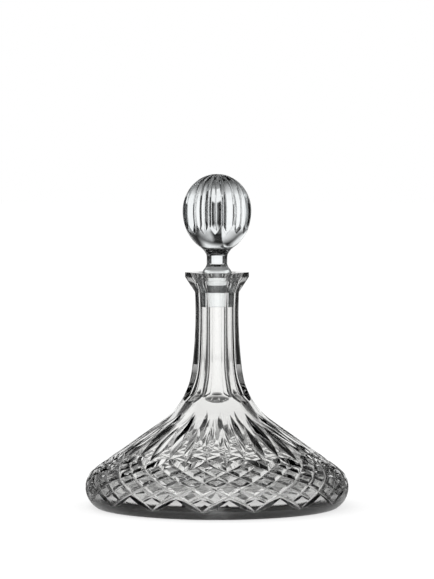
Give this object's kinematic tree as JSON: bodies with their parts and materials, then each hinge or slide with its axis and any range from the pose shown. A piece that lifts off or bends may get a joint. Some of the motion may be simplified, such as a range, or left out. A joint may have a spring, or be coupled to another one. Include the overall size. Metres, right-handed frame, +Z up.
{
  "type": "wine decanter",
  "caption": "Cut-crystal ship's decanter: broad low body with diamond and leaf cutting, hexagonal neck and rim, and a lift-out solid ball stopper.",
  "frame": {"origin": "centre of the base on the table", "axes": "+Z up along the neck; a flat panel of the neck and rim faces -Y, the front"},
  "size_m": [0.2, 0.2, 0.252],
  "materials": {
    "body_crystal": "clear lead crystal, wheel-cut and acid-polished",
    "stopper_crystal": "clear lead crystal with a faint cool tint, wheel-cut and polished"
  },
  "bodies": {
    "decanter": {"decanter": "body_crystal"},
    "stopper": {"stopper": "stopper_crystal"}
  },
  "joints": [
    {"name": "stopper_lift", "type": "slide", "parent": "decanter", "child": "stopper", "axis": [0, 0, 1], "range_m": [0, 0.06]}
  ]
}
